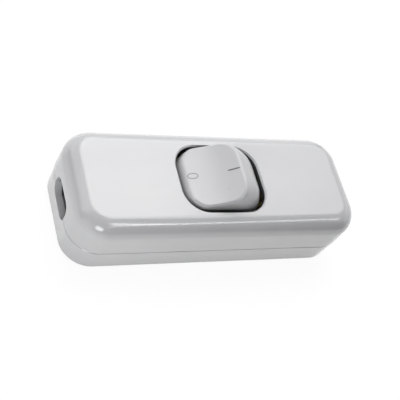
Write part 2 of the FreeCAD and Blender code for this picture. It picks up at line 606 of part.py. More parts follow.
def add_spring_tube(body):
    """Add the tube for the spring and the cross ribs that tie it to the sides."""
    tube = sketch_on(body, "tube_outline", "XY_Plane", z="-sizes.tube_drop")
    draw_circle(tube, "sizes.tube_radius")
    pad(body, "tube", tube, f"{HOLLOW_TOP} + sizes.rocker_roof / 2 + sizes.tube_drop")
    rib = sketch_on(body, "rib_outline", "YZ_Plane")
    draw_box(rib, "sizes.tube_bore + 2 * sizes.plunger_clearance",
             f"{ROCKER_WIDTH} / 2 - sizes.rocker_wall / 2",
             "-sizes.rib_drop", f"{HOLLOW_TOP} + sizes.rocker_roof / 2")
    rib_pad = pad(body, "rib", rib, "sizes.rib_thickness", both=True)
    mirror(body, "other_rib", [rib_pad], "XZ_Plane")
    bore = sketch_on(body, "tube_bore_outline", "XY_Plane", z="-sizes.tube_drop")
    draw_circle(bore, "sizes.tube_bore")
    pocket(body, "tube_bore", bore, f"sizes.tube_drop + {SPRING_SEAT}", back=True)


def add_pins(body):
    """Add the trunnion pins on both sides."""
    sketch = sketch_on(body, "pin_outline", "XZ_Plane",
                       z=f"-({ROCKER_WIDTH} / 2 - sizes.rocker_wall / 2)")
    draw_circle(sketch, "sizes.pin_radius")
    pin = pad(body, "pin", sketch, "sizes.side_gap + sizes.lug_thickness - sizes.pin_end_gap"
              " + sizes.rocker_wall / 2", back=True)
    mirror(body, "other_pin", [pin], "XZ_Plane")


def make_rocker_spring():
    body = new_body("rocker_spring")
    foot = "(sizes.collar_top + sizes.plunger_travel + sizes.spring_clearance + sizes.spring_wire / 2)"
    wire = sketch_on(body, "wire_outline", "XZ_Plane")
    draw(wire, [
        (f"sizes.spring_radius + sizes.spring_wire / 2 * {x}", f"{foot} + sizes.spring_wire / 2 * {y}")
        for x, y in (("1", "0"), ("0.5", "sqrt(0.75)"), ("-0.5", "sqrt(0.75)"),
                     ("-1", "0"), ("-0.5", "-sqrt(0.75)"), ("0.5", "-sqrt(0.75)"))
    ])
    coil = body.newObject("PartDesign::AdditiveHelix", "coil")
    coil.Profile = wire
    coil.ReferenceAxis = (wire, ["V_Axis"])
    coil.Mode = "pitch-height-angle"
    coil.setExpression("Pitch", "sizes.spring_pitch")
    coil.setExpression("Height", f"{SPRING_SEAT} - sizes.spring_wire / 2 - sizes.spring_clearance - {foot}")
    tilt_about_y(body, "sizes.pivot_height", "-sizes.rocker_tilt")
    return body


def make_spring_plunger():
    body = new_body("spring_plunger")
    section = sketch_on(body, "half_section", "XZ_Plane")
    collar_foot = "sizes.collar_top - sizes.collar_height"
    draw(section, [
        ("0", "-(sizes.tip_drop + sizes.tip_radius)"),
        ("sizes.tip_radius", "-sizes.tip_drop", "sizes.tip_radius", 1),
        ("sizes.tip_radius", collar_foot), (COLLAR_RADIUS, collar_foot),
        (COLLAR_RADIUS, "sizes.collar_top"), ("sizes.stem_radius", "sizes.collar_top"),
        ("sizes.stem_radius", "sizes.stem_top"), ("0", "sizes.stem_top"),
    ])
    revolve(body, "turned_form", section)
    tilt_about_y(body, "sizes.pivot_height", "-sizes.rocker_tilt")
    return body


def make_moving_contact():
    body = new_body("moving_contact")
    sheet_x = "sizes.blade_thickness * sin(sizes.blade_angle)"
    sheet_z = "sizes.blade_thickness * cos(sizes.blade_angle)"
    right = "(sizes.blade_seat + sizes.short_arm * tan(sizes.blade_angle))"
    left = f"(sizes.blade_seat + {LONG_ARM} * tan(sizes.blade_angle))"
    valley = sketch_on(body, "valley_outline", "XZ_Plane")
    draw(valley, [
        ("0", "sizes.blade_seat - sizes.blade_thickness / cos(sizes.blade_angle)"),
        (f"sizes.short_arm + {sheet_x}", f"{right} - {sheet_z}"), ("sizes.short_arm", right),
        ("0", "sizes.blade_seat"), (f"-{LONG_ARM}", left),
        (f"-({LONG_ARM} + {sheet_x})", f"{left} - {sheet_z}"),
    ])
    pad(body, "valley", valley, "sizes.blade_width", both=True)
    axle = sketch_on(body, "axle_outline", "XZ_Plane",
                     z="-(sizes.blade_width / 2 - sizes.ear_gap)")
    draw_circle(axle, "sizes.axle_radius")
    axle_pad = pad(body, "axle", axle, "2 * sizes.ear_gap + sizes.strip_thickness", back=True)
    mirror(body, "other_axle", [axle_pad], "XZ_Plane")
    tilt_about_y(body, HINGE, BLADE_TILT)
    return body


def draw_button(sketch, way):
    """Draw half of a contact button, crowned upwards (empty way) or downwards (minus)."""
    crown, edge = f"{way}sizes.button_height", f"{way}sizes.button_edge"
    radius = ("(sizes.button_radius ^ 2 + (sizes.button_height - sizes.button_edge) ^ 2)"
              " / (2 * (sizes.button_height - sizes.button_edge))")
    draw(sketch, [("0", "0"), ("sizes.button_radius", "0"), ("sizes.button_radius", edge),
                  ("0", crown, radius, -1 if way else 1)])


def make_moving_contact_tip():
    body = new_body("moving_contact_tip")
    section = sketch_on(body, "half_section", "XZ_Plane", x=BUTTON_SEAT_X, y=BUTTON_SEAT_Z)
    section.setExpression("AttachmentOffset.Rotation.Angle", "-sizes.blade_angle")
    draw_button(section, "-")
    revolve(body, "button", section)
    tilt_about_y(body, HINGE, BLADE_TILT)
    return body


def make_fixed_contact_tip():
    body = new_body("fixed_contact_tip")
    section = sketch_on(body, "half_section", "XZ_Plane")
    draw_button(section, "")
    revolve(body, "button", section)
    place(body, x=CLOSED_X, z=PLATFORM_TOP)
    return body


def add_terminal_block(body, side):
    """Add a wire block with its bore and screw hole, on the side given as a sign."""
    sketch = sketch_on(body, "block_outline", "XY_Plane", x=f"{side}{BLOCK_MIDDLE}",
                       y=f"-{BLOCK_SHIFT}", z="sizes.floor")
    draw_rounded(sketch, "sizes.block_length", "sizes.block_width", "sizes.block_corner")
    pad(body, "block", sketch, "sizes.block_height")
    wire = sketch_on(body, "wire_outline", "YZ_Plane", z=f"{side}{BLOCK_MIDDLE}")
    draw_circle(wire, "sizes.wire_radius", f"-{BLOCK_SHIFT}", "sizes.floor + sizes.wire_height")
    pocket(body, "wire_bore", wire, "sizes.block_length + 2 * sizes.block_corner", both=True)
    hole = sketch_on(body, "screw_outline", "XY_Plane", x=f"{side}{BLOCK_MIDDLE}",
                     y=f"-{BLOCK_SHIFT}", z=BLOCK_TOP)
    draw_circle(hole, "sizes.block_shank + sizes.thread_clearance")
    pocket(body, "screw_hole", hole, "sizes.block_height - sizes.wire_height")


def make_pivot_terminal():
    """Make the strip that carries the blade's cradle, with its wire block on the right."""
    body = new_body("pivot_terminal")
    half_strip = "sizes.strip_width / 2"
    strip = sketch_on(body, "strip_outline", "XY_Plane", z="sizes.floor")
    draw_box(strip, "-sizes.ear_reach", STRIP_END, f"-{half_strip}", half_strip)
    pad(body, "strip", strip, "sizes.strip_thickness")
    outside = f"({EAR_INSIDE} + sizes.strip_thickness)"
    cradle = sketch_on(body, "cradle_outline", "XY_Plane", z="sizes.floor")
    draw_box(cradle, "-sizes.ear_reach", "sizes.ear_reach", f"-{outside}", outside)
    pad(body, "cradle", cradle, "sizes.strip_thickness")
    ear = sketch_on(body, "ear_outline", "XZ_Plane", z=f"-{EAR_INSIDE}")
    draw(ear, [
        ("-sizes.ear_reach", "sizes.floor"), ("sizes.ear_reach", "sizes.floor"),
        ("sizes.ear_reach", HINGE),
        ("0", f"{HINGE} + sizes.ear_reach", "sizes.ear_reach", 1),
        ("-sizes.ear_reach", HINGE, "sizes.ear_reach", 1),
    ])
    ear_pad = pad(body, "ear", ear, "sizes.strip_thickness", back=True)
    mirror(body, "other_ear", [ear_pad], "XZ_Plane")
    bearing = sketch_on(body, "bearing_outline", "XZ_Plane")
    draw_circle(bearing, "sizes.axle_radius + sizes.axle_clearance", y=HINGE)
    pocket(body, "bearings", bearing, f"2 * {outside} + sizes.ear_gap", both=True)
    add_terminal_block(body, "")
    return body


def make_fixed_terminal():
    """Make the stepped strip that carries the fixed contact, with its block on the left."""
    body = new_body("fixed_terminal")
    low, high = "sizes.floor", PLATFORM_TOP
    strip = sketch_on(body, "strip_outline", "XZ_Plane")
    draw(strip, [
        (f"-{STRIP_END}", low), (f"-{STEP_PLACE}", low),
        (f"-({STEP_PLACE} - sizes.step_run)", f"{high} - sizes.strip_thickness"),
        (f"-{PLATFORM_END}", f"{high} - sizes.strip_thickness"), (f"-{PLATFORM_END}", high),
        (f"-({STEP_PLACE} - sizes.step_run + sizes.strip_thickness)", high),
        (f"-({STEP_PLACE} + sizes.strip_thickness)", f"{low} + sizes.strip_thickness"),
        (f"-{STRIP_END}", f"{low} + sizes.strip_thickness"),
    ])
    pad(body, "strip", strip, "sizes.strip_width", both=True)
    add_terminal_block(body, "-")
    return body


def make_neutral_connector():
    body = new_body("neutral_connector")
    outline = sketch_on(body, "bar_outline", "XY_Plane", z="sizes.floor")
    draw_rounded(outline, "sizes.neutral_length", "sizes.neutral_width", "sizes.block_corner")
    pad(body, "bar", outline, "sizes.neutral_height")
    bore = sketch_on(body, "bore_outline", "YZ_Plane")
    draw_circle(bore, "sizes.neutral_bore", "0", "sizes.floor + sizes.neutral_bore_height")
    pocket(body, "wire_bore", bore, "1.1 * sizes.neutral_length", both=True)
    hole = sketch_on(body, "screw_outline", "XY_Plane", z=NEUTRAL_TOP)
    draw_circle(hole, "sizes.neutral_shank + sizes.thread_clearance", "sizes.neutral_screw_place")
    hole_cut = pocket(body, "screw_hole", hole, "sizes.neutral_height - sizes.neutral_bore_height")
    mirror(body, "other_screw_hole", [hole_cut], "YZ_Plane")
    place(body, y=NEUTRAL_PLACE)
    return body


def make_screw(label, kind, x, y, z, upside_down=False):
    """Make a slotted cheese-head screw whose head sits on the point x, y, z."""
    body = new_body(label)
    head, head_height = f"sizes.{kind}_head", f"sizes.{kind}_head_height"
    shank, depth = f"sizes.{kind}_shank", f"sizes.{kind}_screw_length"
    section = sketch_on(body, "half_section", "XZ_Plane")
    draw(section, [
        ("0", f"-{depth}"), (shank, f"-{depth}"), (shank, "0"), (head, "0"),
        (head, head_height), ("0", head_height),
    ])
    revolve(body, "turned_form", section)
    slot = sketch_on(body, "slot_outline", "XY_Plane", z=head_height)
    draw_box(slot, f"-1.2 * {head}", f"1.2 * {head}", "-sizes.driver_slot / 2", "sizes.driver_slot / 2")
    pocket(body, "driver_slot", slot, "sizes.driver_depth")
    if upside_down:
        body.Placement = FreeCAD.Placement(
            FreeCAD.Vector(), FreeCAD.Rotation(FreeCAD.Vector(1, 0, 0), 180))
    place(body, x, y, z)
    return body


def make_cord_clamp(label, side):
    """Make a clamp bar with a shallow arch over the cord."""
    body = new_body(label)
    half = f"({CLAMP_SCREW_PLACE} + sizes.clamp_margin)"
    section = sketch_on(body, "bar_section", "YZ_Plane")
    draw(section, [
        (f"-{half}", "0"), ("-sizes.arch_reach", "0"), ("sizes.arch_reach", "0", "sizes.arch_radius", -1),
        (half, "0"), (half, "sizes.clamp_thickness"), (f"-{half}", "sizes.clamp_thickness"),
    ])
    pad(body, "bar", section, "sizes.clamp_depth", both=True)
    end = value(half)
    soften(body, "Fillet", "bar_corners", "sizes.clamp_corner",
           lambda edge: edge.BoundBox.ZLength > TINY and edge.BoundBox.XLength < TINY
           and abs(abs(edge.BoundBox.YMin) - end) < TINY and edge.BoundBox.YLength < TINY)
    hole = sketch_on(body, "hole_outline", "XY_Plane", z="sizes.clamp_thickness")
    draw_circle(hole, "sizes.clamp_shank + sizes.screw_clearance", y=CLAMP_SCREW_PLACE)
    hole_cut = pocket(body, "screw_hole", hole, "sizes.clamp_thickness")
    mirror(body, "other_screw_hole", [hole_cut], "XZ_Plane")
    place(body, x=f"{side}{CLAMP_PLACE}", z="sizes.clamp_seat")
    return body


def make_screws():
    """Make every screw where it is driven in."""
    for name, side in (("pivot", ""), ("fixed", "-")):
        make_screw(f"{name}_terminal_screw", "block", f"{side}{BLOCK_MIDDLE}", f"-{BLOCK_SHIFT}", BLOCK_TOP)
    for name, side in (("left", "-"), ("right", "")):
        along = f"{side}{CLAMP_PLACE}"
        make_screw(f"neutral_screw_{name}", "neutral", f"{side}sizes.neutral_screw_place",
                   NEUTRAL_PLACE, NEUTRAL_TOP)
        make_screw(f"{name}_clamp_screw_front", "clamp", along, f"-{CLAMP_SCREW_PLACE}", CLAMP_TOP)
        make_screw(f"{name}_clamp_screw_rear", "clamp", along, CLAMP_SCREW_PLACE, CLAMP_TOP)
        across = SCREW_SIDE if side else f"-{SCREW_SIDE}"
        make_screw(f"{name}_housing_screw", "housing", f"{side}{SCREW_PLACE}", across,
                   "sizes.screw_recess", upside_down=True)


def check_features():
    """Stop on a failed object, and on a pad or cut that changes nothing."""
    for item in doc.Objects:
        if {"Invalid", "Error"} & set(item.State):
            raise RuntimeError(f"{item.Label} failed: {item.State}")
        if item.TypeId in ("PartDesign::Pad", "PartDesign::AdditiveLoft", "PartDesign::Pocket",
                           "PartDesign::SubtractiveLoft") and item.BaseFeature:
            change = item.Shape.Volume - item.BaseFeature.Shape.Volume
            grows = item.TypeId in ("PartDesign::Pad", "PartDesign::AdditiveLoft")
            if abs(change) < TINY or (change > 0) != grows:
                raise RuntimeError(f"{item.Label} changes the volume by {change:.4f}")


def export_parts(bodies):
    """Check each sub-part's solid and write it to its own file."""
    for body in bodies:
        if body.Shape.isNull() or not body.Shape.isValid() or len(body.Shape.Solids) != 1:
            raise RuntimeError(f"{body.Label} is not one valid solid")
    os.makedirs("parts", exist_ok=True)
    for body in bodies:
        body.Shape.exportStep(f"parts/{body.Label}.step")
        print(f"{body.Label}: {body.Shape.Volume:.1f} mm3")


make_lower_shell()
make_upper_shell()
make_rocker()
make_rocker_spring()
make_spring_plunger()
make_moving_contact()
make_moving_contact_tip()
make_pivot_terminal()
make_fixed_terminal()
make_fixed_contact_tip()
make_neutral_connector()
make_cord_clamp("left_cord_clamp", "-")
make_cord_clamp("right_cord_clamp", "")
make_screws()
doc.recompute()
check_features()
export_parts([item for item in doc.Objects if item.TypeId == "PartDesign::Body"])
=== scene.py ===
"""White inline rocker switch for a flat mains cord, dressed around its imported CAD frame.

Every length is in metres, in the frame of the CAD model: X along the housing from the O end to
the I end, Z up out of the roof.
"""

import json
import math

import bmesh
import bpy
import numpy as np
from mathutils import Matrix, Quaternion, Vector


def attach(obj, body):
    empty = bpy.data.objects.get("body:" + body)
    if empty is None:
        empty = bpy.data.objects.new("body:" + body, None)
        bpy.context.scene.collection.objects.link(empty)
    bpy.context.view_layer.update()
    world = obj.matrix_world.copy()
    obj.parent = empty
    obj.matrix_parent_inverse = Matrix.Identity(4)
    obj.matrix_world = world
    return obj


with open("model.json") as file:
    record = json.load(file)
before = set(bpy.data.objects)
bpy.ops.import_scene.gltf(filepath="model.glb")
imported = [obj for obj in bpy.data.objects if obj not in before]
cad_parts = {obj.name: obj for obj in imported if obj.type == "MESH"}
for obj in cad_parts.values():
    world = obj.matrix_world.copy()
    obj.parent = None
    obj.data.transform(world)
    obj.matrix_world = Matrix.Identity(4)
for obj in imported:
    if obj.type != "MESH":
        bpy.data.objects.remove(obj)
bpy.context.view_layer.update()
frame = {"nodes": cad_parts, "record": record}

MM = 0.001
FULL_TURN = 2 * math.pi

# Where the photograph was taken from and how the camera is rolled. Its lens and sensor are in
# millimetres, and what it sees lies between the nearest and the farthest distance.
EYE = Vector((-0.1092284, -0.1044507, 0.1813324))
AIM = Vector((-0.0022365, -0.0008824, 0.0090))
ROLL = math.radians(37.855)
LENS = 78.70
SENSOR = 36.0
NEAREST = 0.01
FARTHEST = 20.0

# The rocker's finger dish, as the CAD has it: pivot, tilt at rest, hollow and middle.
PIVOT = 12.3 * MM
TILT = math.radians(21)
DISH_RADIUS = 36.0 * MM
DISH_MIDDLE = 8.307 * MM

# The two marks on the dish: where they stand along and across the rocker, half their sizes, and
# half the width of the O's line. Both rise a little out of the dish.
RING_PLACE = (-5.45 * MM, 0.45 * MM)
RING_HALF = (1.35 * MM, 0.75 * MM)
RING_LINE = 0.16 * MM
LINE_PLACE = (5.2 * MM, 0.25 * MM)
LINE_HALF = (1.6 * MM, 0.2 * MM)
MARK_RISE = 0.05 * MM

# Points round the O, along the I, and round the section of each. The I's ends would be an
# ellipse's with a power of 1, and are square with a power of 0.
RING_POINTS = 72
LINE_POINTS = 40
SECTION_POINTS = 12
BLUNT_POWER = 0.25

# Points nearer than this are one point, on a mark and on a CAD node. An edge of a CAD node that
# turns by more than the angle stays sharp.
MARK_WELD = 1e-8
CAD_WELD = 1e-6
SHARP_ANGLE = math.radians(28)

# Noise runs from 0 to 1, but nearly all of it lies between these two.
NOISE_LOW, NOISE_HIGH = 0.3, 0.7

# The painted shade in the white plastic's gaps: how far off another surface still darkens the
# colour, and how many rays look for it.
GAP_REACH = 4 * MM
GAP_SAMPLES = 8

# The table top: the radii of its rings, the points on each, its colour, and how much of a white
# glow of what strength the eye finds on it.
TABLE_RADII = np.array([0.0, 0.2, 0.7])
TABLE_POINTS = 96
TABLE_COLOUR = (0.86, 0.86, 0.86)
TABLE_GLOW = 1.06
TABLE_GLOW_SHARE = 0.88

# The studio's light by how steeply a ray climbs, from 0, level or falling, to 1, straight up.
STUDIO_LIGHT = (
    (0.0, (0.02, 0.02, 0.02)),
    (0.60, (0.03, 0.03, 0.032)),
    (0.95, (0.10, 0.10, 0.105)),
)

# What the lamps look at: the middle of the switch, or a part of it near its O end.
MIDDLE = (0, 0, 0.015)
FRONT_EDGE = (-0.028, -0.0125, 0.0177)
FRONT_WALL = (-0.03, -0.01, 0.012)


def new_object(name, vertices, faces):
    """A mesh object at the origin from an array of points and an array of quads."""
    mesh = bpy.data.meshes.new(name)
    mesh.from_pydata(vertices.tolist(), [], faces.tolist())
    mesh.update()
    made = bpy.data.objects.new(name, mesh)
    bpy.context.scene.collection.objects.link(made)
    return made


def grid_faces(rows, columns, closed_rows=False):
    """Quads of a grid of points: point (i, j) has number i * columns + j. The last point of a
    row joins its first, and so does the last row where closed_rows says it."""
    i = np.arange(rows if closed_rows else rows - 1)
    i, j = np.meshgrid(i, np.arange(columns), indexing="ij")
    below, beside = (i + 1) % rows, (j + 1) % columns
    quads = [i * columns + j, i * columns + beside, below * columns + beside, below * columns + j]
    return np.stack(quads, axis=-1).reshape(-1, 4)


def on_dish(along, across, rise):
    """Points of the finger dish at rest: the hollow's height is that of a circle of DISH_RADIUS
    above the pivot, and the whole is turned about the pivot by TILT with its right end up."""
    along, across, rise = np.broadcast_arrays(along, across, rise)
    height = DISH_MIDDLE + DISH_RADIUS - np.sqrt(DISH_RADIUS**2 - along**2) + rise
    x = along * math.cos(TILT) - height * math.sin(TILT)
    z = along * math.sin(TILT) + height * math.cos(TILT)
    return np.stack([x, across, z + PIVOT], axis=-1).reshape(-1, 3)


def make_ring_mark():
    """The O: an oval centre line, with a half-round ridge carried round it. Its section is an
    ellipse, RING_LINE wide each side and MARK_RISE high, half sunk in the dish."""
    around = np.linspace(0, FULL_TURN, RING_POINTS, endpoint=False)[:, None]
    section = np.linspace(0, FULL_TURN, SECTION_POINTS, endpoint=False)[None]
    outward = RING_LINE * np.cos(section)
    along = RING_PLACE[0] + (RING_HALF[0] + outward) * np.cos(around)
    across = RING_PLACE[1] + (RING_HALF[1] + outward) * np.sin(around)
    points = on_dish(along, across, MARK_RISE * np.sin(section))
    ring = new_object("mark_o", points, grid_faces(RING_POINTS, SECTION_POINTS, closed_rows=True))
    finish_piece(ring, MARK_RING, "rocker")


def make_line_mark():
    """The I: a bar whose half width follows a blunt oval from end to end, with an elliptical
    section, MARK_RISE high and half sunk in the dish."""
    run = np.linspace(0, math.pi, LINE_POINTS)[:, None]
    section = np.linspace(0, FULL_TURN, SECTION_POINTS, endpoint=False)[None]
    fullness = np.sin(run) ** BLUNT_POWER
    along = LINE_PLACE[0] - LINE_HALF[0] * np.cos(run)
    across = LINE_PLACE[1] + LINE_HALF[1] * fullness * np.cos(section)
    points = on_dish(along, across, MARK_RISE * fullness * np.sin(section))
    bar = new_object("mark_i", points, grid_faces(LINE_POINTS, SECTION_POINTS))
    finish_piece(bar, MARK_LINE, "rocker")


def finish_piece(piece, finish, body):
    """Closes the poles, points the faces outward, shades it smooth, and lets it ride."""
    sheet = bmesh.new()
    sheet.from_mesh(piece.data)
    bmesh.ops.remove_doubles(sheet, verts=sheet.verts, dist=MARK_WELD)
    bmesh.ops.recalc_face_normals(sheet, faces=sheet.faces)
    sheet.to_mesh(piece.data)
    sheet.free()
    piece.data.polygons.foreach_set("use_smooth", [True] * len(piece.data.polygons))
    piece.data.materials.append(finish)
    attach(piece, body)


class Finish:
    """A material with its Principled shader, and short ways to add the nodes that vary it."""

    def __init__(self, name, **sockets):
        """The sockets are the shader's own, with an underscore for each space in a name."""
        self.material = bpy.data.materials.new(name)
        self.material.use_nodes = True
        self.tree = self.material.node_tree
        self.shader = self.tree.nodes["Principled BSDF"]
        for socket, value in sockets.items():
            self.shader.inputs[socket.replace("_", " ")].default_value = value
        self.place = self.tree.nodes.new("ShaderNodeTexCoord").outputs["Object"]
        self.height = None

    def stretched(self, scale):
        """Object coordinates scaled apart along each axis, for streaks."""
        node = self.tree.nodes.new("ShaderNodeMapping")
        node.inputs["Scale"].default_value = scale
        self.tree.links.new(self.place, node.inputs["Vector"])
        return node.outputs["Vector"]

    def noise(self, size, detail, place=None):
        """Smooth noise whose blotches are about size metres across."""
        node = self.tree.nodes.new("ShaderNodeTexNoise")
        node.inputs["Scale"].default_value = 1.0 / size
        node.inputs["Detail"].default_value = detail
        self.tree.links.new(place or self.place, node.inputs["Vector"])
        return node.outputs["Fac"]

    def between(self, factor, low, high, start=NOISE_LOW, end=NOISE_HIGH):
        """A number that goes from low to high as factor goes from start to end."""
        node = self.tree.nodes.new("ShaderNodeMapRange")
        node.inputs["From Min"].default_value = start
        node.inputs["From Max"].default_value = end
        node.inputs["To Min"].default_value = low
        node.inputs["To Max"].default_value = high
        self.tree.links.new(factor, node.inputs["Value"])
        return node.outputs["Result"]

    def shades(self, noise, dark, light):
        """A colour that goes from dark to light with the noise."""
        node = self.tree.nodes.new("ShaderNodeValToRGB")
        stops = zip(node.color_ramp.elements, (NOISE_LOW, NOISE_HIGH), (dark, light))
        for stop, position, colour in stops:
            stop.position = position
            stop.color = (*colour, 1)
        self.tree.links.new(noise, node.inputs["Fac"])
        return node.outputs["Color"]

    def with_painted_gap_shade(self, colour, shade, start, end):
        """The colour, going over to a painted shade colour where other surfaces stand closer than
        GAP_REACH. It is all painted shade where the open share is below start, and all colour past
        end."""
        near = self.tree.nodes.new("ShaderNodeAmbientOcclusion")
        near.inputs["Distance"].default_value = GAP_REACH
        near.samples = GAP_SAMPLES
        open_share = self.between(near.outputs["AO"], 0.0, 1.0, start, end)
        mix = self.tree.nodes.new("ShaderNodeMix")
        mix.data_type = "RGBA"
        mix.inputs["A"].default_value = (*shade, 1)
        self.tree.links.new(open_share, mix.inputs["Factor"])
        self.tree.links.new(colour, mix.inputs["B"])
        return mix.outputs["Result"]

    def feed(self, socket, output):
        """Joins a node's output to the shader's socket of that name."""
        self.tree.links.new(output, self.shader.inputs[socket])

    def relief(self, factor, depth):
        """Bump of that depth in metres, on top of the bump added before it."""
        node = self.tree.nodes.new("ShaderNodeBump")
        node.inputs["Distance"].default_value = depth
        self.tree.links.new(factor, node.inputs["Height"])
        if self.height is not None:
            self.tree.links.new(self.height, node.inputs["Normal"])
        self.height = node.outputs["Normal"]
        self.feed("Normal", self.height)


def moulded_white(name, dark, light, roughness, peel, coat, painted_shade_colour, painted_shade_range):
    """White moulded plastic: faint flow blotches, a skin like fine orange peel, patches where
    handling has dulled the gloss, and shade painted into the colour in the narrow gaps."""
    finish = Finish(name, IOR=1.53, Coat_Weight=coat, Coat_Roughness=0.09)
    flow = finish.noise(size=14 * MM, detail=3.0, place=finish.stretched((0.6, 1.0, 1.0)))
    clean = finish.shades(flow, dark, light)
    # Painted shade: the colour goes dark where other surfaces close in round it.
    finish.feed("Base Color", finish.with_painted_gap_shade(clean, painted_shade_colour, *painted_shade_range))
    handled = finish.noise(size=8 * MM, detail=1.0)
    dulled = finish.between(handled, low=roughness * 0.9, high=roughness * 1.15)
    finish.feed("Roughness", dulled)
    finish.relief(finish.noise(size=1.6 * MM, detail=1.0), depth=peel)
    finish.relief(finish.noise(size=0.12 * MM, detail=2.0), depth=peel * 0.12)
    return finish.material


def rolled_brass(name):
    """Stamped brass strip: fine rolling lines along X and a light tarnish."""
    finish = Finish(name, Metallic=1.0)
    tarnish = finish.noise(size=2.2 * MM, detail=4.0)
    finish.feed("Base Color", finish.shades(tarnish, (0.62, 0.43, 0.16), (0.84, 0.64, 0.30)))
    along_strip = finish.stretched((0.05, 1.0, 1.0))
    lines = finish.noise(size=0.18 * MM, detail=2.0, place=along_strip)
    finish.feed("Roughness", finish.between(lines, low=0.22, high=0.42))
    finish.relief(lines, depth=0.004 * MM)
    return finish.material


def plated_steel(name, dark, light, roughness):
    """Zinc-plated or drawn steel: cloudy crystals and a fine grain."""
    finish = Finish(name, Metallic=1.0)
    clouds = finish.noise(size=0.9 * MM, detail=5.0)
    finish.feed("Base Color", finish.shades(clouds, dark, light))
    finish.feed("Roughness", finish.between(clouds, low=roughness, high=roughness * 1.7))
    finish.relief(finish.noise(size=0.15 * MM, detail=3.0), depth=0.003 * MM)
    return finish.material


def natural_plastic(name, dark, light, roughness):
    """Uncoloured or satin moulded plastic with a slightly milky, uneven body."""
    finish = Finish(name, IOR=1.5, Subsurface_Weight=0.15, Subsurface_Scale=0.6 * MM)
    milky = finish.noise(size=3.0 * MM, detail=3.0)
    finish.feed("Base Color", finish.shades(milky, dark, light))
    finish.feed("Roughness", finish.between(milky, low=roughness, high=roughness * 1.4))
    finish.relief(finish.noise(size=0.2 * MM, detail=3.0), depth=0.006 * MM)
    return finish.material


def silver_contact(name):
    """Silver contact face, a little sulphided."""
    finish = Finish(name, Metallic=1.0)
    film = finish.noise(size=0.5 * MM, detail=4.0)
    finish.feed("Base Color", finish.shades(film, (0.55, 0.52, 0.48), (0.86, 0.85, 0.82)))
    finish.feed("Roughness", finish.between(film, low=0.18, high=0.38))
    finish.relief(film, depth=0.004 * MM)
    return finish.material


def printed_mark(name, dark, light):
    """Hot-stamped mark: matt colour, a little patchy."""
    finish = Finish(name, IOR=1.45)
    patch = finish.noise(size=0.25 * MM, detail=3.0)
    finish.feed("Base Color", finish.shades(patch, dark, light))
    finish.feed("Roughness", finish.between(patch, low=0.35, high=0.55))
    return finish.material


# What the two shells have in common.
SHELL_WHITE = {
    "dark": (0.70, 0.70, 0.715),
    "light": (0.735, 0.735, 0.745),
    "roughness": 0.20,
    "peel": 0.006 * MM,
    "coat": 0.65,
    # The near-black colour of the shade painted into narrow gaps.
    "painted_shade_colour": (0.01, 0.01, 0.01),
}
FINISHES = {
    "shell_plastic": moulded_white("base_white", painted_shade_range=(0.32, 0.52), **SHELL_WHITE),
    "rocker_plastic": moulded_white(
        "rocker_white",
        dark=(0.72, 0.72, 0.73),
        light=(0.76, 0.76, 0.77),
        roughness=0.30,
        peel=0.010 * MM,
        coat=0.2,
        # A grey shade painted into the narrow gaps round the rocker.
        painted_shade_colour=(0.20, 0.20, 0.20),
        painted_shade_range=(0.04, 0.34),
    ),
    "plunger_plastic": natural_plastic(
        "natural_acetal", dark=(0.66, 0.64, 0.58), light=(0.74, 0.72, 0.67), roughness=0.35
    ),
    "clamp_plastic": natural_plastic(
        "clamp_nylon", dark=(0.62, 0.61, 0.57), light=(0.70, 0.69, 0.66), roughness=0.40
    ),
    "contact_brass": rolled_brass("contact_brass"),
    "contact_silver": silver_contact("contact_silver"),
    "screw_steel": plated_steel(
        "zinc_plated_steel", dark=(0.50, 0.51, 0.53), light=(0.72, 0.73, 0.75), roughness=0.22
    ),
    "spring_steel": plated_steel(
        "spring_wire", dark=(0.34, 0.34, 0.35), light=(0.55, 0.55, 0.56), roughness=0.25
    ),
}
# The cover's window is deep and narrow, so more shade is painted on its walls.
COVER = moulded_white("cover_white", painted_shade_range=(0.45, 0.62), **SHELL_WHITE)

MARK_RING = printed_mark("mark_ring_grey", dark=(0.42, 0.42, 0.43), light=(0.50, 0.50, 0.51))
MARK_LINE = printed_mark("mark_line_grey", dark=(0.18, 0.18, 0.19), light=(0.26, 0.26, 0.27))


def node_slots():
    """The material slot that the record gives each CAD node."""
    return {part["node"]: part["material_slot"] for part in frame["record"]["subparts"]}


def smooth_moulding():
    """A modifier group that joins the loose triangles of a CAD node and shades them smooth,
    apart from edges that turn by more than SHARP_ANGLE."""
    group = bpy.data.node_groups.new("smooth_moulding", "GeometryNodeTree")
    for way in ("INPUT", "OUTPUT"):
        group.interface.new_socket("Geometry", in_out=way, socket_type="NodeSocketGeometry")
    entry = group.nodes.new("NodeGroupInput")
    leave = group.nodes.new("NodeGroupOutput")
    merge = group.nodes.new("GeometryNodeMergeByDistance")
    merge.inputs["Distance"].default_value = CAD_WELD
    angle = group.nodes.new("GeometryNodeInputMeshEdgeAngle")
    soft = group.nodes.new("FunctionNodeCompare")
    soft.data_type = "FLOAT"
    soft.operation = "LESS_THAN"
    soft.inputs["B"].default_value = SHARP_ANGLE
    faces = group.nodes.new("GeometryNodeSetShadeSmooth")
    faces.domain = "FACE"
    edges = group.nodes.new("GeometryNodeSetShadeSmooth")
    edges.domain = "EDGE"
    link = group.links.new
    link(entry.outputs[0], merge.inputs["Geometry"])
    link(merge.outputs["Geometry"], faces.inputs["Geometry"])
    link(faces.outputs["Geometry"], edges.inputs["Geometry"])
    link(angle.outputs["Unsigned Angle"], soft.inputs["A"])
    link(soft.outputs["Result"], edges.inputs["Shade Smooth"])
    link(edges.outputs["Geometry"], leave.inputs[0])
    return group


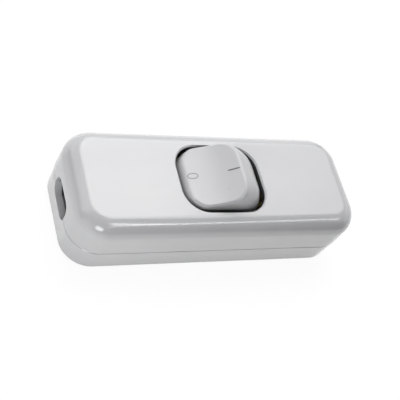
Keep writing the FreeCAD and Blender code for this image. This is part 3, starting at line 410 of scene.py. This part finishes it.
def dress_cad_nodes():
    """Gives each CAD node its finish and smooth shading."""
    slots = node_slots()
    smoothing = smooth_moulding()
    for name, node in frame["nodes"].items():
        finish = COVER if name == "upper_shell" else FINISHES[slots[name]]
        node.data.materials.clear()
        node.data.materials.append(finish)
        shade = node.modifiers.new("smooth moulding", "NODES")
        shade.node_group = smoothing
        weight = node.modifiers.new("flat faces stay flat", "WEIGHTED_NORMAL")
        weight.keep_sharp = True
        weight.mode = "FACE_AREA_WITH_ANGLE"


def make_camera():
    """The camera of the photograph, rolled so that the housing lies almost level in it."""
    data = bpy.data.cameras.new("camera")
    data.lens = LENS
    data.sensor_width = SENSOR
    data.clip_start = NEAREST
    data.clip_end = FARTHEST
    camera = bpy.data.objects.new("camera", data)
    camera.location = EYE
    camera.rotation_mode = "QUATERNION"
    camera.rotation_quaternion = (AIM - EYE).to_track_quat("-Z", "Y") @ Quaternion((0, 0, 1), ROLL)
    bpy.context.scene.collection.objects.link(camera)
    bpy.context.scene.camera = camera


def softbox(name, place, size, watts, aim=MIDDLE, gloss_only=False):
    """A rectangular area lamp at place that looks at aim. A lamp that is gloss_only stands in
    the gloss as a bright patch, and lights nothing else."""
    data = bpy.data.lights.new(name, "AREA")
    data.shape = "RECTANGLE"
    data.size, data.size_y = size
    data.energy = watts
    lamp = bpy.data.objects.new(name, data)
    lamp.location = place
    lamp.rotation_mode = "QUATERNION"
    lamp.rotation_quaternion = (Vector(aim) - Vector(place)).to_track_quat("-Z", "Y")
    lamp.visible_diffuse = not gloss_only
    bpy.context.scene.collection.objects.link(lamp)


def light_the_switch():
    """Soft light from behind, more of it from the right. The edge strip draws the line along
    the front edge, the edge glint its bright short piece near the O end, and the two small near
    lamps lift the walls at that end."""
    softbox("main_back_right", place=(0.24, 0.40, 0.60), size=(0.60, 0.60), watts=2.4)
    softbox("main_back", place=(0.10, 0.38, 0.62), size=(0.50, 0.50), watts=1.05)
    softbox("left_back", place=(-0.40, 0.25, 0.45), size=(0.45, 0.45), watts=0.58)
    softbox("edge_strip", place=(0.24, -0.24, 0.43), size=(0.50, 0.03), watts=0.38,
            gloss_only=True)
    softbox("edge_glint", place=(0.150, -0.20, 0.44), size=(0.04, 0.13), watts=0.13,
            aim=FRONT_EDGE, gloss_only=True)
    softbox("left_near", place=(-0.22, -0.11, 0.07), size=(0.14, 0.14), watts=0.05)
    softbox("front_near", place=(-0.08, -0.12, 0.07), size=(0.05, 0.05), watts=0.05,
            aim=FRONT_WALL)
    softbox("right_low", place=(0.60, 0.10, 0.20), size=(0.70, 0.35), watts=0.60)
    softbox("back_wall", place=(0.0, 0.80, 0.22), size=(1.60, 0.45), watts=1.45)
    softbox("back_high", place=(0.0, 0.70, 0.45), size=(1.40, 0.40), watts=0.90)


def reckoned(tree, operation, first, second):
    """The result of one Math node. first is an output, and second an output or a number."""
    node = tree.nodes.new("ShaderNodeMath")
    node.operation = operation
    tree.links.new(first, node.inputs[0])
    if isinstance(second, float):
        node.inputs[1].default_value = second
    else:
        tree.links.new(second, node.inputs[1])
    return node.outputs[0]


def mixed(tree, share, under, over):
    """Two shaders mixed: all of under where share is 0, and all of over where it is 1."""
    node = tree.nodes.new("ShaderNodeMixShader")
    for socket, output in zip(node.inputs, (share, under, over)):
        tree.links.new(output, socket)
    return node.outputs[0]


def make_floor():
    """A round white table top under the switch, as rings of points round its middle. Camera,
    mirror and see-through rays find mostly a plain white glow on it, so that it reads as white,
    and the rest of it keeps the object's shadow."""
    turn = np.linspace(0, FULL_TURN, TABLE_POINTS, endpoint=False)
    rim = np.stack([np.cos(turn), np.sin(turn), np.zeros_like(turn)], axis=-1)
    points = (TABLE_RADII[:, None, None] * rim[None]).reshape(-1, 3)
    floor = new_object("floor", points, grid_faces(len(TABLE_RADII), TABLE_POINTS))
    material = bpy.data.materials.new("floor_white")
    material.use_nodes = True
    tree = material.node_tree
    shader = tree.nodes["Principled BSDF"]
    shader.inputs["Base Color"].default_value = (*TABLE_COLOUR, 1)
    shader.inputs["Roughness"].default_value = 0.8
    path = tree.nodes.new("ShaderNodeLightPath").outputs
    seen = reckoned(tree, "MAXIMUM", path["Is Camera Ray"], path["Is Glossy Ray"])
    seen = reckoned(tree, "MAXIMUM", seen, path["Is Transmission Ray"])
    glow = tree.nodes.new("ShaderNodeEmission")
    glow.inputs["Strength"].default_value = TABLE_GLOW
    share = reckoned(tree, "MULTIPLY", seen, TABLE_GLOW_SHARE)
    mix = mixed(tree, share, shader.outputs[0], glow.outputs[0])
    tree.links.new(mix, tree.nodes["Material Output"].inputs["Surface"])
    floor.data.materials.append(material)


def make_surroundings():
    """A dim studio under a brighter ceiling, which lights the object and stands in its gloss.
    Rays from the camera or through something clear find plain white instead, and so do mirror
    rays that go down past the table's edge."""
    world = bpy.data.worlds.new("studio")
    bpy.context.scene.world = world
    world.use_nodes = True
    tree = world.node_tree
    studio = tree.nodes["Background"]
    place = tree.nodes.new("ShaderNodeTexCoord")
    parts = tree.nodes.new("ShaderNodeSeparateXYZ")
    tree.links.new(place.outputs["Generated"], parts.inputs[0])
    climb = parts.outputs["Z"]
    ramp = tree.nodes.new("ShaderNodeValToRGB")
    stops = ramp.color_ramp.elements
    stops.new(STUDIO_LIGHT[1][0])
    for stop, (position, colour) in zip(stops, STUDIO_LIGHT):
        stop.position = position
        stop.color = (*colour, 1)
    tree.links.new(climb, ramp.inputs["Fac"])
    tree.links.new(ramp.outputs["Color"], studio.inputs["Color"])
    path = tree.nodes.new("ShaderNodeLightPath").outputs
    falling = reckoned(tree, "LESS_THAN", climb, 0.0)
    mirrored = reckoned(tree, "MULTIPLY", falling, path["Is Glossy Ray"])
    looked_at = reckoned(tree, "MAXIMUM", path["Is Camera Ray"], path["Is Transmission Ray"])
    seen = reckoned(tree, "MAXIMUM", mirrored, looked_at)
    white = tree.nodes.new("ShaderNodeBackground")
    white.inputs["Color"].default_value = (1, 1, 1, 1)
    mix = mixed(tree, seen, studio.outputs[0], white.outputs[0])
    tree.links.new(mix, tree.nodes["World Output"].inputs["Surface"])


make_camera()
make_surroundings()
make_floor()
light_the_switch()
dress_cad_nodes()
make_ring_mark()
make_line_mark()

bpy.context.scene.view_settings.view_transform = "Standard"
